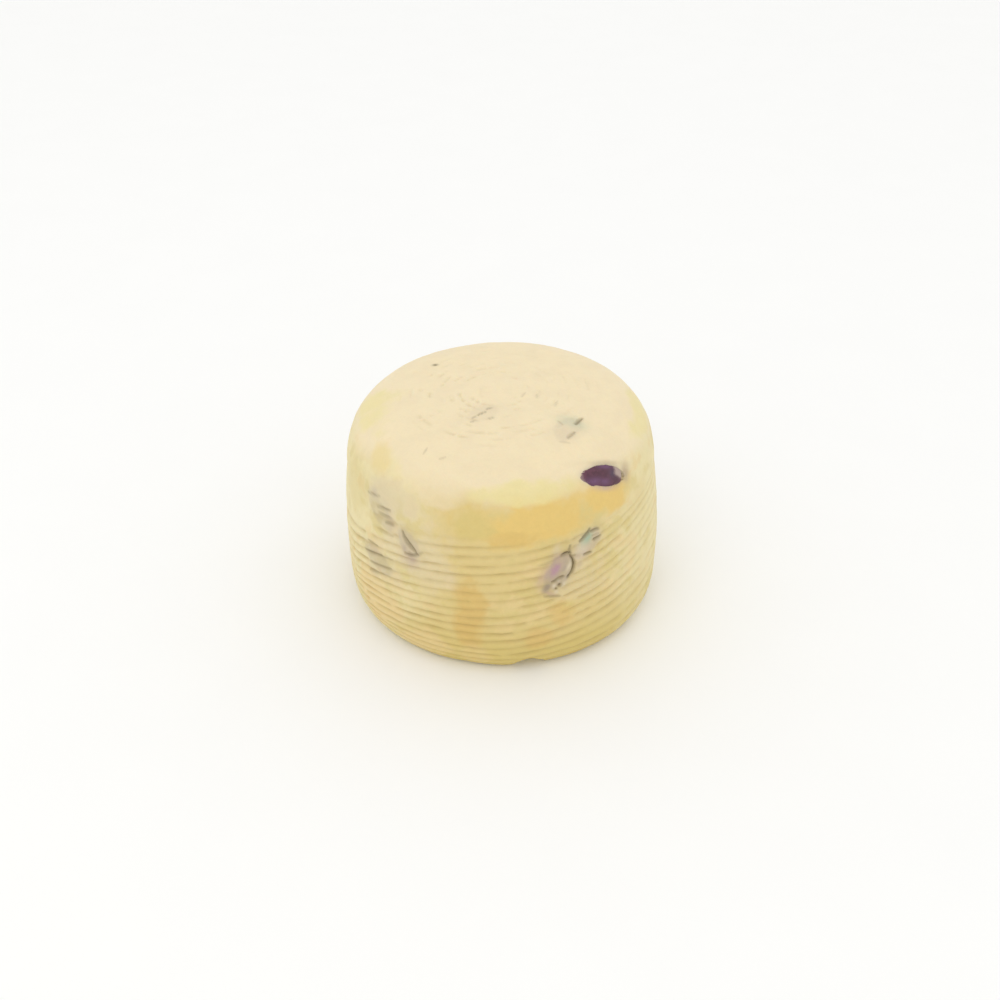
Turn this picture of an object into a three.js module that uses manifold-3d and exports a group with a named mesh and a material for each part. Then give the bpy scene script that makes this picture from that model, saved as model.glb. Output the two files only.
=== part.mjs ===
// Caciotta: a small drum-shaped cheese pressed in a basket, with black olives set in the curd.
// Millimetres, +Z up. The origin is the middle of the flat foot. The front of the cheese looks to -Y.
// An angle round the cheese is counted from the front, positive towards +X.

import * as THREE from 'three';
import { mergeVertices } from 'three/addons/utils/BufferGeometryUtils.js';
import Module from 'manifold-3d';

// Drum: the side leans in towards the top, and one superellipse makes the shoulder and the face.
const HEIGHT = 90.6;
const FOOT_RADIUS = 64.6;
const SHOULDER_RADIUS = 62.1;
const SIDE_BELLY = 1.1;
const FOOT_ROUNDING_WIDTH = 7.2;
const FOOT_ROUNDING_HEIGHT = 13.4;
const CROWN_HEIGHT = 28.6;
const CROWN_SQUARENESS = 5.7;
const SHOULDER_LEVEL = HEIGHT - CROWN_HEIGHT;

// The drum stands a little crooked: its top is shifted to -X, and its face rises towards +X.
const LEAN = -1.6;
const FACE_SLOPE = 0.0248;

// Basket rings: bands between narrow grooves. They are tilted, as the curd sat askew in its basket.
const RING_PITCH = 3.8;
const RING_DEPTH = 0.7;
const TOP_GROOVE_LEVEL = 67.8;
const RING_COUNT = 18;
const GROOVE_SHARE = 0.26;
const RING_SLOPE = Math.tan(THREE.MathUtils.degToRad(5.8));
const RING_SLOPE_FULL_FROM = 22;
const RING_SLOPE_FULL_TO = 60;
const RING_SLOPE_GONE_AT = 80;
const RINGS_FADE_FROM = 57.5;
const RINGS_FADE_TO = 64;

// Levels of the smooth rows between the last basket ring and the face.
const SHOULDER_ROWS = [74, 78, 81.5, 84.5, 86.5];

// Shallow rings that the bottom of the basket left on the face.
const FACE_RING_PITCH = 5.5;
const FACE_RING_DEPTH = 0.3;
const FACE_RING_FIRST = 8;
const FACE_RING_COUNT = 7;

// A scoop that chips the foot's edge at the front: where its middle lies, and its size.
const CHIP = { angle: 10.5, radius: 62, level: -1, width: 14, depth: 15, height: 13.2 };

// Facets round the drum, and round and along the egg shape of an olive or of the chip.
const DRUM_SEGMENTS = 36;
const EGG_SEGMENTS = 12;
const EGG_RINGS = 6;

// Air between an olive and the curd round it.
const OLIVE_GAP = 0.3;

// Vertices closer than this are one vertex.
const WELD_DISTANCE = 1e-4;

// Each olive: the spot of the skin over its middle, as an angle in degrees with a level on the side
// or a radius on the face, its own length, width and thickness, how far its long axis is turned on
// the skin (degrees, right end up), and how deep its middle lies under the skin.
const OLIVES = [
  { name: 'olive_rim', angle: 41.2, level: 78.7, size: [20.5, 10.4, 10.4], turn: -23, depth: 2.0 },
  { name: 'olive_front_low', angle: 19.8, level: 47.0, size: [18.6, 10.8, 10.4], turn: 57, depth: 2.0 },
  { name: 'olive_front_high', angle: 31.9, level: 56.2, size: [13.4, 8.6, 8.6], turn: 37, depth: 2.1 },
  { name: 'olive_left_high', angle: -47.3, level: 62.1, size: [19.0, 10.4, 10.0], turn: -29, depth: 2.8 },
  { name: 'olive_left_middle', angle: -33.2, level: 54.6, size: [15.0, 9.0, 9.0], turn: -52, depth: 2.6 },
  { name: 'olive_left_low', angle: -48.8, level: 39.6, size: [19.5, 10.6, 10.0], turn: -20, depth: 2.7 },
  { name: 'olive_face_right', angle: 42.4, radius: 38.0, size: [17.5, 10.6, 10.0], turn: 17, depth: 2.7 },
  { name: 'olive_face_middle', angle: -19.6, radius: 17.6, size: [16.5, 10.4, 10.0], turn: 62, depth: 3.1 },
  { name: 'olive_back_right', angle: 106, level: 45.0, size: [19.5, 10.6, 10.2], turn: 24, depth: 2.4 },
  { name: 'olive_back_high', angle: 152, level: 63.5, size: [20.0, 10.8, 10.2], turn: -33, depth: 2.6 },
  { name: 'olive_back_low', angle: -164, level: 31.0, size: [19.0, 10.4, 10.0], turn: 14, depth: 2.8 },
  { name: 'olive_back_left', angle: -114, level: 52.0, size: [18.5, 10.2, 9.8], turn: 48, depth: 2.5 },
];

const wasm = await Module();
wasm.setup();

const curdMaterial = new THREE.MeshStandardMaterial({ color: 0xe9dcae, roughness: 0.62, metalness: 0 });
const oliveMaterial = new THREE.MeshStandardMaterial({ color: 0x4b3140, roughness: 0.45, metalness: 0 });

// Radius of the smooth skin at a level.
function skinRadius(level) {
  if (level <= FOOT_ROUNDING_HEIGHT) {
    const drop = 1 - Math.max(level, 0) / FOOT_ROUNDING_HEIGHT;
    return FOOT_RADIUS - FOOT_ROUNDING_WIDTH * (1 - Math.sqrt(1 - drop * drop));
  }
  if (level <= SHOULDER_LEVEL) {
    const share = (level - FOOT_ROUNDING_HEIGHT) / (SHOULDER_LEVEL - FOOT_ROUNDING_HEIGHT);
    const straight = THREE.MathUtils.lerp(FOOT_RADIUS, SHOULDER_RADIUS, share);
    return straight + 4 * SIDE_BELLY * share * (1 - share);
  }
  const rise = Math.min((level - SHOULDER_LEVEL) / CROWN_HEIGHT, 1);
  return SHOULDER_RADIUS * (1 - rise * rise) ** (1 / CROWN_SQUARENESS);
}

// Level of the crown at a radius, the same superellipse read the other way.
function crownLevel(radius) {
  const share = radius / SHOULDER_RADIUS;
  return SHOULDER_LEVEL + CROWN_HEIGHT * Math.sqrt(1 - share ** CROWN_SQUARENESS);
}

// How much of the rings' slope applies at a level: none at the foot and none on the face.
function ringSlopeShare(level) {
  const rising = THREE.MathUtils.smoothstep(level, 0, RING_SLOPE_FULL_FROM);
  const falling = 1 - THREE.MathUtils.smoothstep(level, RING_SLOPE_FULL_TO, RING_SLOPE_GONE_AT);
  return rising * falling;
}

// Depth of the basket groove for a ring level, faded out by the true height on the side.
function grooveDepth(ringLevel, height) {
  const phase = (ringLevel - TOP_GROOVE_LEVEL) / RING_PITCH;
  const fromGroove = Math.abs(phase - Math.round(phase));
  const fade = 1 - THREE.MathUtils.smoothstep(height, RINGS_FADE_FROM, RINGS_FADE_TO);
  return RING_DEPTH * fade * Math.max(0, 1 - fromGroove / GROOVE_SHARE);
}

// Levels of the side's rows: each groove with the two edges of the band above it.
function ringRows() {
  const rows = [];
  for (let ring = RING_COUNT - 1; ring >= 0; ring -= 1) {
    const groove = TOP_GROOVE_LEVEL - ring * RING_PITCH;
    rows.push(groove, groove + GROOVE_SHARE * RING_PITCH, groove + (1 - GROOVE_SHARE) * RING_PITCH);
  }
  return rows;
}

// Levels of the side's rows on a drum without rings.
function plainRows() {
  const rows = [];
  const step = 2 * RING_PITCH;
  for (let level = step / 2; level < TOP_GROOVE_LEVEL; level += step) {
    rows.push(level);
  }
  return rows;
}

// Half outline of the drum from the middle of the foot to the middle of the face.
function drumProfile(sideRows, faceRingDepth) {
  const outline = [new THREE.Vector2(0, 0), new THREE.Vector2(skinRadius(0), 0)];
  for (const level of sideRows) {
    outline.push(new THREE.Vector2(skinRadius(level), level));
  }
  for (const level of SHOULDER_ROWS) {
    outline.push(new THREE.Vector2(skinRadius(level), level));
  }
  for (let ring = FACE_RING_COUNT - 1; ring >= 0; ring -= 1) {
    const groove = FACE_RING_FIRST + ring * FACE_RING_PITCH;
    const crest = groove + FACE_RING_PITCH / 2;
    outline.push(new THREE.Vector2(crest, crownLevel(crest)));
    outline.push(new THREE.Vector2(groove, crownLevel(groove) - faceRingDepth));
  }
  outline.push(new THREE.Vector2(0, HEIGHT));
  return outline;
}

// Carry a point of the upright drum to its place on the crooked one.
function crooked(point) {
  const share = point.z / HEIGHT;
  point.z += FACE_SLOPE * point.x * share * share;
  point.x += LEAN * (share - 0.5);
  return point;
}

// A closed, outward-facing solid from a three.js geometry.
function closedSolid(geometry) {
  const bare = geometry.clone();
  bare.deleteAttribute('normal');
  bare.deleteAttribute('uv');
  const merged = mergeVertices(bare, WELD_DISTANCE);
  const corners = merged.index.array;
  const kept = [];
  for (let i = 0; i < corners.length; i += 3) {
    const [a, b, c] = [corners[i], corners[i + 1], corners[i + 2]];
    if (a !== b && b !== c && c !== a) {
      kept.push(a, b, c);
    }
  }
  return new wasm.Manifold(new wasm.Mesh({
    numProp: 3,
    vertProperties: new Float32Array(merged.attributes.position.array),
    triVerts: new Uint32Array(kept),
  }));
}

// The drum as a lathed body whose rings are tilted after turning.
function drumSolid(sideRows, faceRingDepth, carved) {
  const drum = new THREE.LatheGeometry(drumProfile(sideRows, faceRingDepth), DRUM_SEGMENTS);
  drum.rotateX(Math.PI / 2);
  const position = drum.attributes.position;
  const point = new THREE.Vector3();
  for (let i = 0; i < position.count; i += 1) {
    point.fromBufferAttribute(position, i);
    const level = point.z;
    if (level > 0 && level < RING_SLOPE_GONE_AT) {
      const radius = Math.hypot(point.x, point.y);
      point.z += RING_SLOPE * ringSlopeShare(level) * point.x;
      const groove = carved ? grooveDepth(level, point.z) : 0;
      const share = (skinRadius(point.z) - groove) / radius;
      point.x *= share;
      point.y *= share;
    }
    crooked(point);
    position.setXYZ(i, point.x, point.y, point.z);
  }
  return closedSolid(drum);
}

// Radius and level of the skin at a spot, which states its level on the side or its radius on the face.
function meridianPoint({ level, radius }) {
  if (radius === undefined) {
    return new THREE.Vector2(skinRadius(level), level);
  }
  return new THREE.Vector2(radius, crownLevel(radius));
}

// Placement of a body set in the skin: x along the skin to the right, y up the skin, z outward,
// with x turned towards y by the body's own turn.
function skinPlacement({ angle, level, radius, turn, depth }) {
  const step = 0.05;
  const here = meridianPoint({ level, radius });
  const above = radius === undefined
    ? meridianPoint({ level: level + step })
    : meridianPoint({ radius: radius - step });
  const climb = above.sub(here).normalize();
  const bearing = THREE.MathUtils.degToRad(angle);
  const outward = new THREE.Vector3(Math.sin(bearing), -Math.cos(bearing), 0);
  const side = new THREE.Vector3(Math.cos(bearing), Math.sin(bearing), 0);
  const up = outward.clone().multiplyScalar(climb.x).setZ(climb.y);
  const normal = new THREE.Vector3().crossVectors(side, up);
  const place = crooked(outward.clone().multiplyScalar(here.x).setZ(here.y));
  place.addScaledVector(normal, -depth);
  const placement = new THREE.Matrix4().makeBasis(side, up, normal).setPosition(place);
  return placement.multiply(new THREE.Matrix4().makeRotationZ(THREE.MathUtils.degToRad(turn)));
}

// An olive's whole body, larger than the olive by `margin` all round.
function oliveBody(olive, margin) {
  const body = new THREE.SphereGeometry(1, EGG_SEGMENTS, EGG_RINGS);
  body.rotateZ(Math.PI / 2);
  const [length, width, thickness] = olive.size;
  body.scale(length / 2 + margin, width / 2 + margin, thickness / 2 + margin);
  body.applyMatrix4(skinPlacement(olive));
  return closedSolid(body);
}

// The scoop that chips the edge of the foot.
function chipBody() {
  const scoop = new THREE.SphereGeometry(1, EGG_SEGMENTS, EGG_RINGS);
  scoop.scale(CHIP.width / 2, CHIP.depth / 2, CHIP.height / 2);
  const bearing = THREE.MathUtils.degToRad(CHIP.angle);
  scoop.rotateZ(bearing);
  scoop.translate(CHIP.radius * Math.sin(bearing), -CHIP.radius * Math.cos(bearing), CHIP.level);
  return closedSolid(scoop);
}

// A named mesh whose own origin is the middle of its box.
function namedMesh(name, solid, material) {
  const { vertProperties, triVerts } = solid.getMesh();
  const geometry = new THREE.BufferGeometry();
  geometry.setAttribute('position', new THREE.BufferAttribute(vertProperties, 3));
  geometry.setIndex(new THREE.BufferAttribute(triVerts, 1));
  geometry.computeBoundingBox();
  const middle = geometry.boundingBox.getCenter(new THREE.Vector3());
  geometry.translate(-middle.x, -middle.y, -middle.z);
  geometry.computeVertexNormals();
  const mesh = new THREE.Mesh(geometry, material);
  mesh.name = name;
  mesh.position.copy(middle);
  return mesh;
}

const cheese = new THREE.Group();
const smoothDrum = drumSolid(plainRows(), 0, false);
let curd = drumSolid(ringRows(), FACE_RING_DEPTH, true).subtract(chipBody());
for (const olive of OLIVES) {
  curd = curd.subtract(oliveBody(olive, OLIVE_GAP));
  cheese.add(namedMesh(olive.name, oliveBody(olive, 0).intersect(smoothDrum), oliveMaterial));
}
cheese.add(namedMesh('curd_drum', curd, curdMaterial));

export default cheese;
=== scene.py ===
"""Caciotta: a small cheese pressed in a ringed basket, with black olives set in its curd."""

import math

import bpy
import numpy as np
from bpy.props import FloatProperty, FloatVectorProperty, IntProperty, PointerProperty
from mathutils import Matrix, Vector


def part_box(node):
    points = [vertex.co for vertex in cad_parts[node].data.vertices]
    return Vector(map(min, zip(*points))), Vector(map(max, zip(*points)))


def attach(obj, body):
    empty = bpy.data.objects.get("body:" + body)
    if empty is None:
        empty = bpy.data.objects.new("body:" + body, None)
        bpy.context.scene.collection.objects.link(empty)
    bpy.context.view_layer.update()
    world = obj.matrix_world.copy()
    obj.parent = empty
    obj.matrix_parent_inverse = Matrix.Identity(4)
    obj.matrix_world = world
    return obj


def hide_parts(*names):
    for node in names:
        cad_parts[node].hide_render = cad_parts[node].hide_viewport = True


bl_info = {
    "name": "Caciotta with olives",
    "version": (1, 0, 0),
    "blender": (4, 5, 0),
    "location": "3D View > Sidebar > Caciotta",
    "description": "Builds a basket-pressed caciotta with black olives in its curd",
    "category": "Add Mesh",
}

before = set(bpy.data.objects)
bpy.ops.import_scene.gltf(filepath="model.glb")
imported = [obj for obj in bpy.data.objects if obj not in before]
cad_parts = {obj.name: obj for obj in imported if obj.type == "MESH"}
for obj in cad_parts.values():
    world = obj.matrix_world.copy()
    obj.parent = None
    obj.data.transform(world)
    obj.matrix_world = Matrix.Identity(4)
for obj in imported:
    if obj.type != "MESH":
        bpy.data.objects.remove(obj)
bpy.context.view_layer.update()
CURD_LOW, CURD_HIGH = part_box("curd_drum")

MM = 0.001
OLIVE_NODES = sorted(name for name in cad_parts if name.startswith("olive_"))

# The drum's two driving sizes, read from the packed curd, whose top the slope of the face raises.
FACE_RISE = 0.54 * MM
WIDEST_RADIUS = (CURD_HIGH.y - CURD_LOW.y) / 2
HEIGHT = CURD_HIGH.z - FACE_RISE

# Rows of the curd's grid. Across one basket ring they are shares of its pitch from the groove's
# middle. The rings end at a level just over the floor, and the edge's rows lie below it.
RING_ROWS = (-0.34, -0.17, -0.06, 0.06, 0.17, 0.34, 0.5)
FIRST_RING, LAST_RING = -2, 17
RINGS_END = 0.9 * MM
EDGE_ROWS = (0.62 * MM, 0.3 * MM, 0.1 * MM)

# Rows of the crown and of the foot. SPACING: from row to row. MIDDLE: from the middle to the nearest
# row. GAP: from the crown's last row to the first ring. STEPS: a radius that a row exceeds, and
# which columns it then has, such as every second.
CROWN_SPACING, FOOT_SPACING = 0.68 * MM, 1.7 * MM
CROWN_MIDDLE, FOOT_MIDDLE = 0.5 * MM, 1.5 * MM
CROWN_GAP = 1.8 * MM
CROWN_STEPS = ((27 * MM, 1), (13 * MM, 2), (6 * MM, 4), (0, 8))
FOOT_STEPS = ((36 * MM, 2), (12 * MM, 4), (0, 8))

# How closely the columns stand: away from the olives, and what an olive adds in front and behind.
PLAIN_DENSITY, FRONT_DENSITY, BACK_DENSITY = 0.8, 1.7, 1.2

# Rows and columns of an olive's mesh.
OLIVE_ROWS, OLIVE_COLUMNS = 44, 56

# Seeds of the unevenness of the curd and of the olives.
CURD_SEED, OLIVE_SEED = 11, 23

# The slow unevenness of the curd: the size of its lumps and their height. Then the deepest relief
# of the foot, the radius where it starts to fade, and the depth of the face's middle point.
CURD_LUMPS = ((16 * MM, 0.22 * MM), (5 * MM, 0.08 * MM), (1.6 * MM, 0.035 * MM))
FOOT_RELIEF, FOOT_FADE = 0.3 * MM, 8 * MM
FACE_MIDDLE_DEPTH = 0.3 * MM

# The angle from one stave of the basket's bottom to the next.
STAVE = math.radians(15)

# The chip in the foot's edge: its bearing from the front, the scoop's distance from the middle of
# the foot, its half sizes and its height.
CHIP_BEARING = math.radians(10)
CHIP_REACH = 62 * MM
CHIP_HALF_WIDTH, CHIP_HALF_DEPTH, CHIP_HEIGHT = 6.8 * MM, 7.5 * MM, 7.2 * MM

# Short scratches on the face: middle in plan and length in mm, and direction in degrees. Then the
# place of one dark speck.
FACE_SCRATCHES = (
    (-27.5, -38.2, 2.6, 60), (-21.0, -42.9, 2.2, 8), (9.3, -3.4, 3.8, 70), (14.6, -4.9, 3.0, 92),
    (21.8, -10.8, 4.2, 82),
)
FACE_SPECK = (-26.3 * MM, 23.6 * MM)

# The lamp: its width, its place and the spot that it lights.
LAMP_WIDTH = 0.9
LAMP_PLACE = Vector((-0.45, -0.75, 1.1))
LAMP_SPOT = Vector((0, 0, 0.05))

# How each olive lies. cover: its depth under the skin. veil: how strongly it greys the curd.
# quiet: no rings over it. ring_rise: how much higher the rings reach there. window: middle and half
# sizes of the opening over a bare olive. stains: what, where, half sizes and strength. Among them is
# painted light: the pale curd beside some olives is partly painted highlight on raised curd, and the
# brown stripe above the rim olive's opening is painted shadow. blooms: the same on a bare olive, all
# at full strength. slits: strength and a line of spots, where those of strength 1 reach the olive.
# pits: small holes and their radius. All lengths are in mm, along and across the olive.
OLIVE_LOOKS = {
    "olive_rim": dict(
        cover=0.22, veil=0.55, window=(1.4, -0.2, 10.4, 4.0),
        stains=(
            # The brown stripe just above the opening's top edge is painted shadow of the curd lip over
            # the olive.
            ("veil", 11.8, 1.0, 2.8, 3.4, 0.85), ("seep", 1.8, 4.6, 8.5, 1.0, 0.3),
            ("lilac", 1.4, -4.9, 5.0, 1.0, 0.4),
        ),
        blooms=(
            ("violet", 1.2, -2.6, 2.6, 1.3), ("violet", 2.0, 3.5, 3.6, 0.9),
            ("violet", -3.6, -2.4, 4.0, 1.6), ("slate", 5.2, 0.8, 2.0, 2.2),
        ),
    ),
    "olive_front_low": dict(
        cover=1.1, veil=0.74, quiet=True,
        stains=(
            ("lilac", 0.4, 2.0, 3.2, 1.8, 1.0), ("lilac", -2.2, 4.2, 4.8, 2.0, 0.32),
            ("lilac", 4.6, 3.6, 2.8, 1.6, 0.4), ("lilac", -5.4, 4.8, 3.4, 1.6, 0.3),
            ("lilac", -9.8, -1.8, 0.9, 3.2, 0.35), ("seep", -7.9, 1.3, 2.2, 1.6, 0.42),
            ("veil", -7.6, 1.0, 2.6, 1.8, 0.95), ("veil", 4.8, -7.0, 2.0, 1.3, 0.42),
            ("veil", 1.6, -1.4, 3.0, 1.8, 0.95), ("cream_and_highlight", 3.7, -2.8, 2.8, 0.8, 0.95),
            ("cream_and_highlight", 7.8, 5.4, 2.4, 1.6, 0.5), ("cream_and_highlight", -4.2, -4.7, 1.4, 0.9, 0.9),
            ("cream_and_highlight", -6.2, -1.2, 1.0, 0.8, 0.9), ("cream_and_highlight", -8.3, -3.6, 0.9, 0.8, 0.8),
            ("cream_and_highlight", -3.4, -1.6, 0.8, 0.8, 0.8),
        ),
        slits=(
            (1, (6.1, 2.4), (7.9, 1.1), (8.3, -0.6)), (0.7, (10.8, 0.7), (9.3, 0.4), (8.2, -0.6)),
            (1, (7.3, -1.2), (6.1, -3.3), (4.2, -4.7), (1.7, -5.3), (-1.2, -4.9)),
            (0.6, (7.4, -0.8), (7.9, -3.3)), (0.8, (-1.3, -2.7), (-2.9, -1.4), (-4.8, 0.4)),
            (0.28, (6.1, 2.4), (4.0, 4.1), (1.5, 6.3), (-0.6, 8.8)), (0.6, (-11.6, 0.0), (-9.4, -6.0)),
        ),
        pits=((-5.2, -3.3, 0.9), (-7.0, -2.8, 0.6)),
    ),
    "olive_front_high": dict(
        cover=1.15, veil=0.46, quiet=True,
        stains=(
            ("mint", -0.4, 1.6, 3.0, 1.7, 1.0), ("cream_and_highlight", 3.6, -0.8, 1.6, 2.2, 0.6),
            ("veil", -5.2, -0.4, 3.6, 2.8, 0.5), ("cream_and_highlight", -4.6, 0.4, 3.8, 3.0, 0.7),
            ("lilac", -5.0, 0.0, 3.6, 2.8, 0.25),
        ),
        slits=(
            (0.85, (-2.5, 3.6), (-0.2, 3.3), (2.5, 3.2), (3.5, 3.5)), (0.75, (3.1, 2.5), (5.7, -0.1)),
            (0.8, (1.4, -1.2), (4.3, -3.0)), (0.8, (-5.3, -2.1), (-2.8, -3.9)),
            (0.4, (2.2, 0.4), (4.6, -1.4)),
        ),
    ),
    "olive_left_high": dict(
        cover=1.15, veil=0.36, ring_rise=8.0,
        stains=(("veil", -7.0, 3.0, 3.4, 4.0, 0.4), ("veil", -1.0, 3.0, 11.0, 9.0, 0.18)),
        slits=(
            (0.5, (-9.4, 0.8), (-3.7, 5.7)), (0.65, (-2.6, 0.8), (3.3, 5.8)),
            (0.7, (-0.6, -1.2), (5.5, 3.0)), (0.6, (4.2, -1.0), (7.4, 1.4)),
            (0.25, (2.3, -8.1), (9.9, -3.1)),
        ),
    ),
    "olive_left_middle": dict(
        cover=1.15, veil=0.45, quiet=True,
        stains=(
            ("lilac", 5.8, -4.0, 3.4, 3.0, 0.18), ("veil", 5.0, -3.8, 4.0, 3.8, 0.48),
            ("veil", 0.4, -2.8, 2.8, 2.2, 0.75), ("cream_and_highlight", 3.4, -0.8, 1.2, 0.8, 0.6),
        ),
        slits=(
            (0.8, (-5.5, 0.4), (-2.1, 0.2), (0.7, 0.5), (2.7, 1.0), (5.0, 0.9)),
            (0.6, (-4.0, -0.3), (-1.9, -0.6), (1.0, -0.3), (3.0, 0.3)),
            (0.8, (2.2, -4.3), (3.6, -2.6), (4.8, -0.2), (5.2, 1.2)),
            (0.5, (2.4, -2.6), (3.4, -1.2)), (0.4, (5.2, 0.8), (5.2, 3.4)),
        ),
    ),
    "olive_left_low": dict(
        cover=1.15, veil=0.42,
        stains=(("veil", -3.0, 1.0, 9.0, 6.0, 0.13), ("veil", -1.0, -7.0, 4.0, 3.4, 0.32)),
        slits=(
            (0.75, (-9.0, -3.6), (-6.0, -1.2), (-1.0, 2.4), (1.8, 4.3)),
            (0.7, (-7.6, 3.4), (-2.2, 6.1)), (0.45, (1.8, 4.3), (6.8, 7.0)),
            (0.55, (-4.2, -5.7), (0.3, -2.5), (7.6, 2.5)), (0.4, (-3.2, -10.0), (5.0, -3.8)),
        ),
    ),
    "olive_face_right": dict(
        cover=1.1, veil=0.22, stains=(("mint", 4.6, 0.6, 3.2, 6.2, 0.4),),
        slits=(
            (0.8, (4.1, -1.1), (9.0, -1.3)), (0.55, (-5.0, -2.8), (-0.4, -3.1)),
            (0.3, (1.1, 2.8), (2.5, 5.6)), (0.2, (-8.4, -1.2), (-6.8, -4.5)),
        ),
    ),
    "olive_face_middle": dict(
        cover=1.1, veil=0.14,
        slits=(
            (0.6, (-2.4, 0.5), (1.0, 0.3)), (0.5, (2.4, 1.1), (4.7, 0.9)),
            (0.45, (-7.8, -1.2), (-5.6, -1.4)), (0.48, (-2.2, -4.4), (0.9, -4.8)),
            (0.4, (-5.6, 0.4), (-3.6, 0.6)),
        ),
    ),
    "olive_back_right": dict(
        cover=1.1, veil=0.7, quiet=True,
        stains=(("lilac", 1.0, 1.0, 3.0, 2.4, 0.7), ("cream_and_highlight", -4.0, 1.8, 3.0, 1.0, 0.5)),
        slits=(
            (0.75, (-4.6, 4.2), (-7.4, 2.8), (-8.2, 0.2), (-6.4, -2.8), (-3.6, -4.4)),
            (0.5, (3.0, -2.6), (5.6, -0.8)),
        ),
    ),
    "olive_back_high": dict(
        cover=1.15, veil=0.55, quiet=True,
        stains=(
            ("lilac", -0.6, 1.0, 3.6, 1.8, 0.75), ("veil", -5.0, 2.6, 3.4, 1.8, 0.6),
            ("cream_and_highlight", 4.0, -0.8, 2.2, 1.2, 0.6),
        ),
        slits=(
            (0.85, (-6.6, -1.4), (-4.2, -3.4), (-0.6, -4.1), (2.8, -3.4), (5.4, -1.6)),
            (0.6, (-2.4, 3.6), (1.4, 3.9), (4.2, 2.9)), (0.45, (1.2, 0.6), (4.4, -0.4)),
        ),
    ),
    "olive_back_low": dict(
        cover=1.15, veil=0.42, stains=(("veil", 0.0, 0.0, 9.0, 6.0, 0.2),),
        slits=((0.55, (-5.0, 1.8), (0.8, 2.6)), (0.5, (-1.0, -1.6), (5.2, -0.8))),
    ),
    "olive_back_left": dict(
        cover=1.15, veil=0.5, quiet=True, stains=(("mint", -2.0, 1.2, 3.4, 1.8, 0.6),),
        slits=((0.7, (3.6, 4.0), (-0.6, 4.4), (-4.6, 3.2)), (0.5, (1.0, -1.0), (5.0, -2.2))),
    ),
}


def colour(red, green, blue):
    """A linear colour from the usual 0 to 255 of each channel."""
    shares = np.array([red, green, blue]) / 255
    linear = np.where(shares <= 0.04045, shares / 12.92, ((shares + 0.055) / 1.055) ** 2.4)
    return tuple(float(value) for value in linear)


def number(name, value, description, **settings):
    """A number property."""
    return FloatProperty(name=name, description=description, default=value, **settings)


def length(name, value, description):
    """A length property in metres."""
    return number(name, value, description, unit="LENGTH")


def degrees(name, value, description):
    """An angle property, given in degrees."""
    return number(name, math.radians(value), description, subtype="ANGLE")


def paint(name, red, green, blue, description):
    """A colour property."""
    return FloatVectorProperty(
        name=name, description=description, default=colour(red, green, blue),
        subtype="COLOR", size=3, min=0, max=1,
    )


class DrumSize(bpy.types.PropertyGroup):
    """Sizes of the drum."""

    height: length("Height", HEIGHT, "Level of the middle of the face")
    foot_radius: length("Foot radius", WIDEST_RADIUS - 0.2 * MM, "Radius above the foot's rounding")
    shoulder_radius: length("Shoulder radius", WIDEST_RADIUS - 2.7 * MM, "Radius at the crown's start")
    belly: length("Belly", 1.1 * MM, "How far the side swells at half height")
    rounding_width: length("Foot rounding width", 7.2 * MM, "How far the foot's edge is rounded in")
    rounding_height: length("Foot rounding height", 13.4 * MM, "How high the foot's rounding reaches")
    crown_height: length("Crown height", 28.6 * MM, "Height of the shoulder and face together")
    crown_squareness: number("Crown squareness", 5.7, "Power of the crown's superellipse", min=2)
    lean: length("Lean", -1.6 * MM, "How far the top is shifted sideways against the foot")
    face_slope: number("Face slope", 0.0248, "Rise of the face per length to the right")
    columns: IntProperty(
        name="Columns", description="Columns of the drum's grid, a multiple of 8", default=448, min=64,
    )


class BasketPrint(bpy.types.PropertyGroup):
    """Sizes of the rings that the basket left."""

    pitch: length("Ring pitch", 3.8 * MM, "Height of one ring with its groove")
    top_groove: length("Top groove level", 67.8 * MM, "Level of the groove that is counted as zero")
    groove_depth: length("Groove depth", 0.5 * MM, "Depth of the grooves between the bands")
    groove_width: length("Groove width", 0.72 * MM, "Half a groove's width at a third of its depth")
    band_round: length("Band rounding", 0.26 * MM, "How far a band falls back to its grooves")
    tilt: degrees("Ring tilt", 5.8, "Slope of the rings to the right")
    wobble: length("Ring wobble", 0.4 * MM, "How far a ring wanders up and down")
    bend: length("Ring bend", 5.0 * MM, "How far the rings bend up at the right and down at the left")
    sag: length("Ring sag", 6.0 * MM, "How far the rings sag at the far left")
    spread: number("Ring spread", 0.042, "Share by which the rings are further apart in front")
    fade_level: length("Fade level", 60.9 * MM, "Level where the rings are half gone")
    fade_height: length("Fade height", 6.0 * MM, "Height over which the rings fade out")
    face_pitch: length("Face ring pitch", 3.9 * MM, "Spacing of the rings on the face and foot")
    face_depth: length("Face ring depth", 0.6 * MM, "Depth of the marks on the face and foot")


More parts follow.
